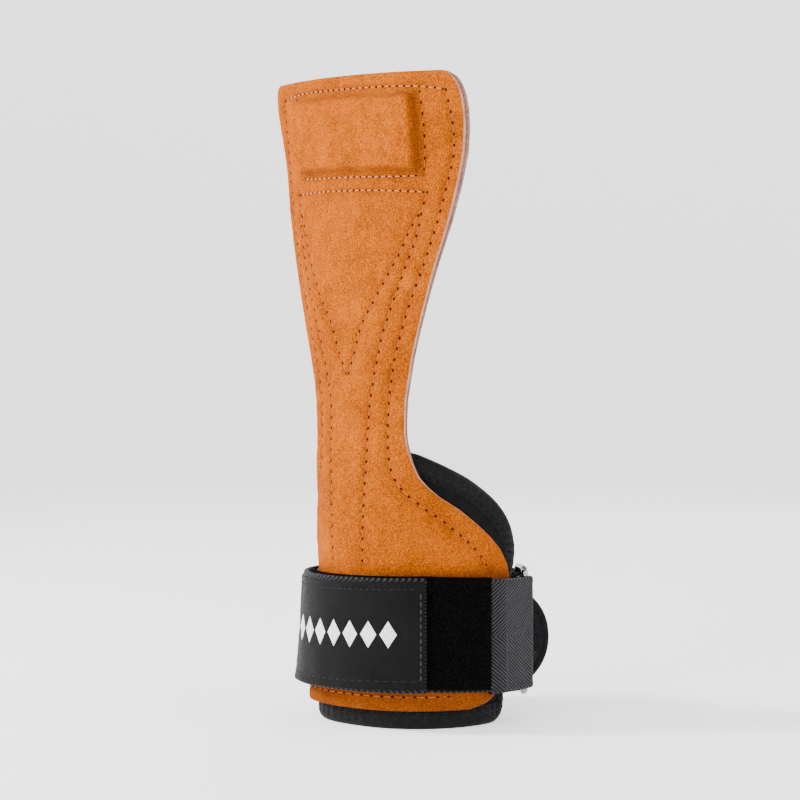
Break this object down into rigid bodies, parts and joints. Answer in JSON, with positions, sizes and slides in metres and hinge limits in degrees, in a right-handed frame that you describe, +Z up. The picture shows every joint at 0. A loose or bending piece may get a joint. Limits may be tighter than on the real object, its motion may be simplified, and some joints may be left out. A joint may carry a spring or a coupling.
{
  "type": "palm grip",
  "caption": "Suede palm grip for bars: a wide leather tongue sewn to a padded wrist cuff that closes with hook-and-loop webbing through a metal ring.",
  "frame": {"origin": "under the middle of the bounding box, on the surface that the cuff's lower edge stands on", "axes": "+Z up the cuff's axis towards the tongue's tip; the tongue's suede face looks along -Y; the ring is on the +X, +Y side"},
  "size_m": [0.0954, 0.0868, 0.2336],
  "materials": {
    "suede": "napped amber suede",
    "back_leather": "split leather, flesh side",
    "core_web": "woven nylon web",
    "filler": "firm EVA foam",
    "thread": "bonded polyester thread, peach",
    "dark_thread": "bonded polyester thread, black",
    "neoprene": "closed-cell neoprene foam",
    "neoprene_skin": "knitted nylon skin, black",
    "binding": "folded knit binding, black",
    "webbing": "herringbone nylon webbing, black",
    "loop_tape": "brushed loop tape, black",
    "hook_tape": "moulded hook tape, black",
    "label": "smooth charcoal label patch",
    "chrome": "polished steel wire"
  },
  "bodies": {
    "cuff": {"pad_lining": "neoprene_skin", "pad_core": "neoprene", "pad_cover": "neoprene_skin", "pad_binding": "binding", "back_leather_base": "back_leather", "core_web_base": "core_web", "face_suede_base": "suede", "front_webbing": "webbing", "loop_tape": "loop_tape", "ring_anchor_webbing": "webbing", "free_strap_webbing": "webbing", "tab_core": "neoprene", "tab_binding": "binding", "seam_thread_base": "thread", "leather_hem_thread": "thread"},
    "tongue_lower": {"face_suede_lower": "suede", "core_web_lower": "core_web", "back_leather_lower": "back_leather", "seam_thread_lower": "thread"},
    "tongue_middle": {"face_suede_middle": "suede", "core_web_middle": "core_web", "back_leather_middle": "back_leather", "seam_thread_middle": "thread"},
    "tongue_tip": {"face_suede_tip": "suede", "back_leather_tip": "back_leather", "tip_filler": "filler", "seam_thread_tip": "thread"},
    "strap_tip": {"hook_tape": "hook_tape", "strap_tip_webbing": "webbing", "label_patch": "label", "label_thread": "dark_thread"},
    "ring": {"strap_ring": "chrome"}
  },
  "joints": [
    {"name": "tongue_root_bend", "type": "hinge", "parent": "cuff", "child": "tongue_lower", "pos_m": [0, -0.03648, 0.106], "axis": [1, 0, 0], "range_deg": [-8, 40], "stiffness_Nm_per_rad": 0.4},
    {"name": "tongue_middle_bend", "type": "hinge", "parent": "tongue_lower", "child": "tongue_middle", "pos_m": [0, -0.03663, 0.146], "axis": [1, 0, 0], "range_deg": [-8, 60], "stiffness_Nm_per_rad": 0.25},
    {"name": "tongue_tip_bend", "type": "hinge", "parent": "tongue_middle", "child": "tongue_tip", "pos_m": [0, -0.03478, 0.187], "axis": [1, 0, 0], "range_deg": [-8, 75], "stiffness_Nm_per_rad": 0.15},
    {"name": "strap_tip_peel", "type": "hinge", "parent": "cuff", "child": "strap_tip", "pos_m": [-0.03816, -0.02037, 0.0332], "axis": [0, 0, -1], "range_deg": [0, 110]},
    {"name": "ring_swing", "type": "hinge", "parent": "cuff", "child": "ring", "pos_m": [0.03238, 0.02442, 0.0325], "axis": [0, 0, 1], "range_deg": [-4, 4]}
  ]
}
